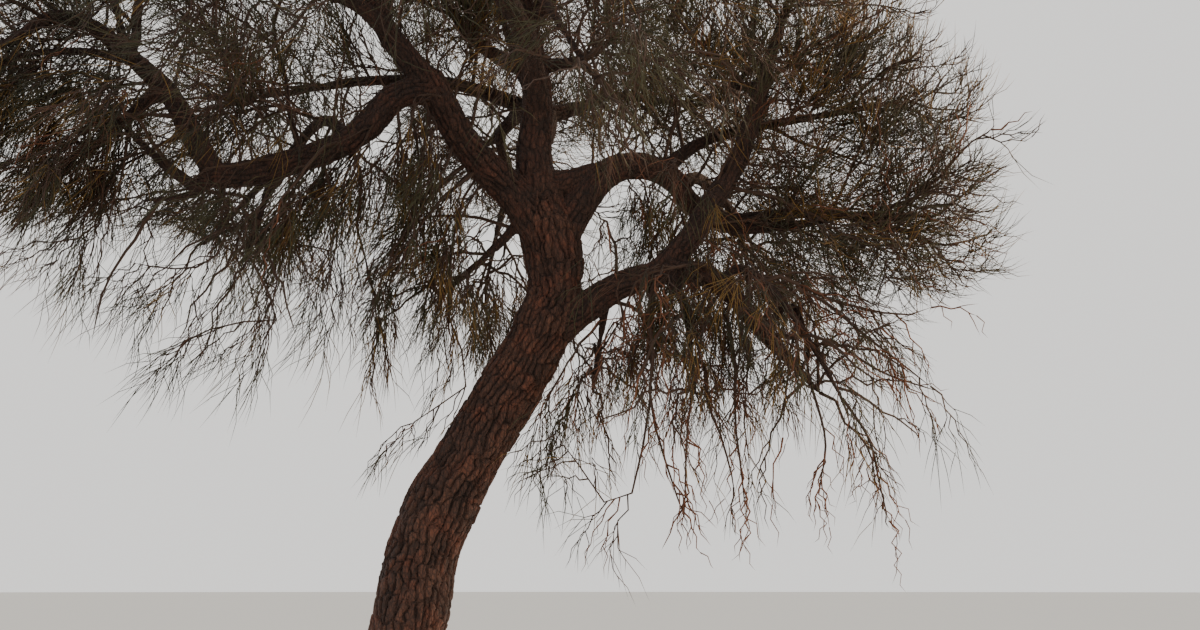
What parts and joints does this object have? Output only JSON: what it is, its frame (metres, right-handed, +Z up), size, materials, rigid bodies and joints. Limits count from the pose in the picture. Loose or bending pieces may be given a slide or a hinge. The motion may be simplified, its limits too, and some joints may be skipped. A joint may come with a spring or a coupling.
{
  "type": "needle-leaved acacia tree",
  "caption": "Whole dry-country acacia tree with a leaning, forked trunk, long crooked boughs and a wide, open, weeping crown of fine twigs and long needles.",
  "frame": {"origin": "middle of the flat cut under the trunk, at ground level", "axes": "+Z up, +X to the right and +Y away from the viewer as the picture sees the tree"},
  "size_m": [6.0381, 5.3271, 6.1232],
  "materials": {
    "bark": "rough, deeply fissured dark red-brown bark",
    "young_bark": "rough, thinner brown bark of the smaller boughs",
    "needles": "matt olive-green needles on brown twigs"
  },
  "bodies": {
    "root": {"trunk": "bark", "centre_limb": "bark", "left_limb": "bark", "right_limb": "bark", "low_right_limb": "bark", "left_bough": "bark", "left_crown_limb": "bark", "left_arch": "bark", "riser": "bark", "front_limb": "bark", "back_limb": "bark", "bough_top_right": "young_bark", "bough_top_front": "young_bark", "bough_top_back": "young_bark", "bough_right_back": "young_bark", "bough_left_back": "young_bark", "bough_left_upper": "young_bark", "bough_left_front": "young_bark", "bough_right_front": "young_bark", "bough_right_upper": "young_bark", "bough_far_right": "young_bark", "bough_left_hanging": "young_bark", "bough_left_mid_hanging": "young_bark", "bough_inner_left_hanging": "young_bark", "bough_low_right_front": "young_bark", "bough_low_right_inner": "young_bark", "bough_back_right_low": "young_bark", "bough_back_low": "young_bark", "bough_left_back_low": "young_bark", "bough_front_low": "young_bark", "mass_top_centre": "needles", "mass_top_left": "needles", "mass_top_right": "needles", "mass_top_front": "needles", "mass_top_back": "needles", "mass_mid_right": "needles", "mass_right_back": "needles", "mass_back": "needles", "mass_left_back": "needles", "mass_left_upper": "needles", "mass_left_front": "needles", "mass_front": "needles", "mass_right_front": "needles", "mass_right_upper": "needles", "mass_far_right": "needles", "mass_far_left": "needles", "mass_left_hanging": "needles", "mass_left_mid_hanging": "needles", "mass_inner_left_hanging": "needles", "mass_low_right_front": "needles", "mass_low_right_inner": "needles", "mass_right_hanging": "needles", "mass_back_right_low": "needles", "mass_back_low": "needles", "mass_left_back_low": "needles", "mass_front_low": "needles"}
  },
  "joints": []
}
